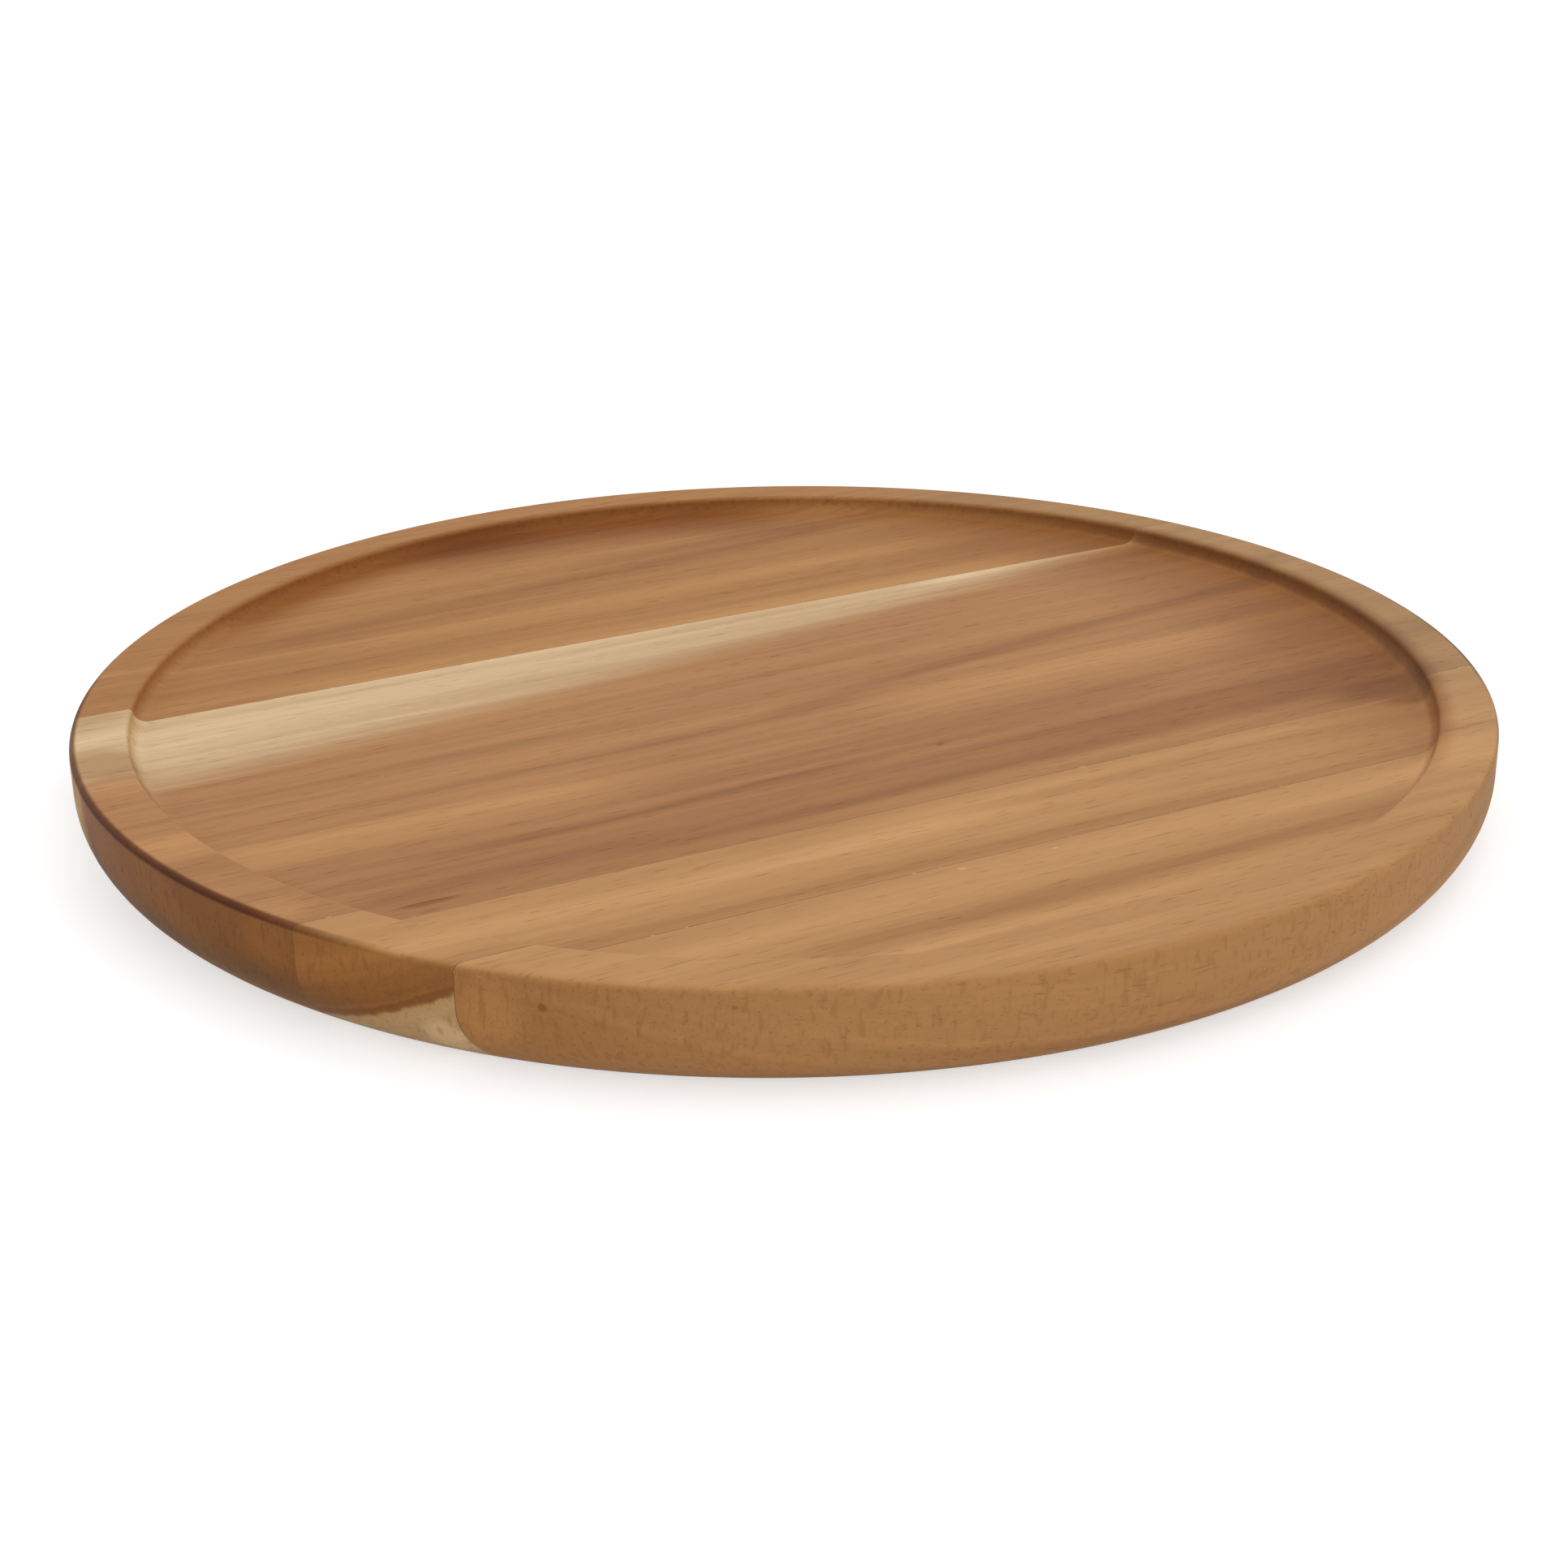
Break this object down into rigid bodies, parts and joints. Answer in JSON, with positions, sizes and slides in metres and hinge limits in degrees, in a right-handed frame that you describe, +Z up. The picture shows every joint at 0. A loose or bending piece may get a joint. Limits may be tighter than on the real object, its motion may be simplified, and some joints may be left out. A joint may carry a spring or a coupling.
{
  "type": "serving platter",
  "caption": "Round wooden serving platter: a shallow recess inside a flat raised rim, turned from an edge-glued panel of hardwood staves with a rounded lower edge and a flat underside.",
  "frame": {"origin": "centre of the flat underside, in the plane that the platter rests on", "axes": "+Z up through the rim; +X along the grain of the staves; +Y across the staves, from the front stave to the back stave"},
  "size_m": [0.3, 0.3, 0.02],
  "materials": {
    "back_stave_wood": "oiled acacia heartwood, satin",
    "wide_stave_wood": "oiled acacia heartwood with a sapwood edge, satin",
    "narrow_stave_wood": "oiled light acacia heartwood, satin",
    "front_stave_wood": "oiled light acacia heartwood, satin",
    "cured_glue": "thin cured wood glue, sanded flush"
  },
  "bodies": {
    "root": {"back_stave": "back_stave_wood", "back_glue_line": "cured_glue", "wide_stave": "wide_stave_wood", "middle_glue_line": "cured_glue", "narrow_stave": "narrow_stave_wood", "front_glue_line": "cured_glue", "front_stave": "front_stave_wood"}
  },
  "joints": []
}
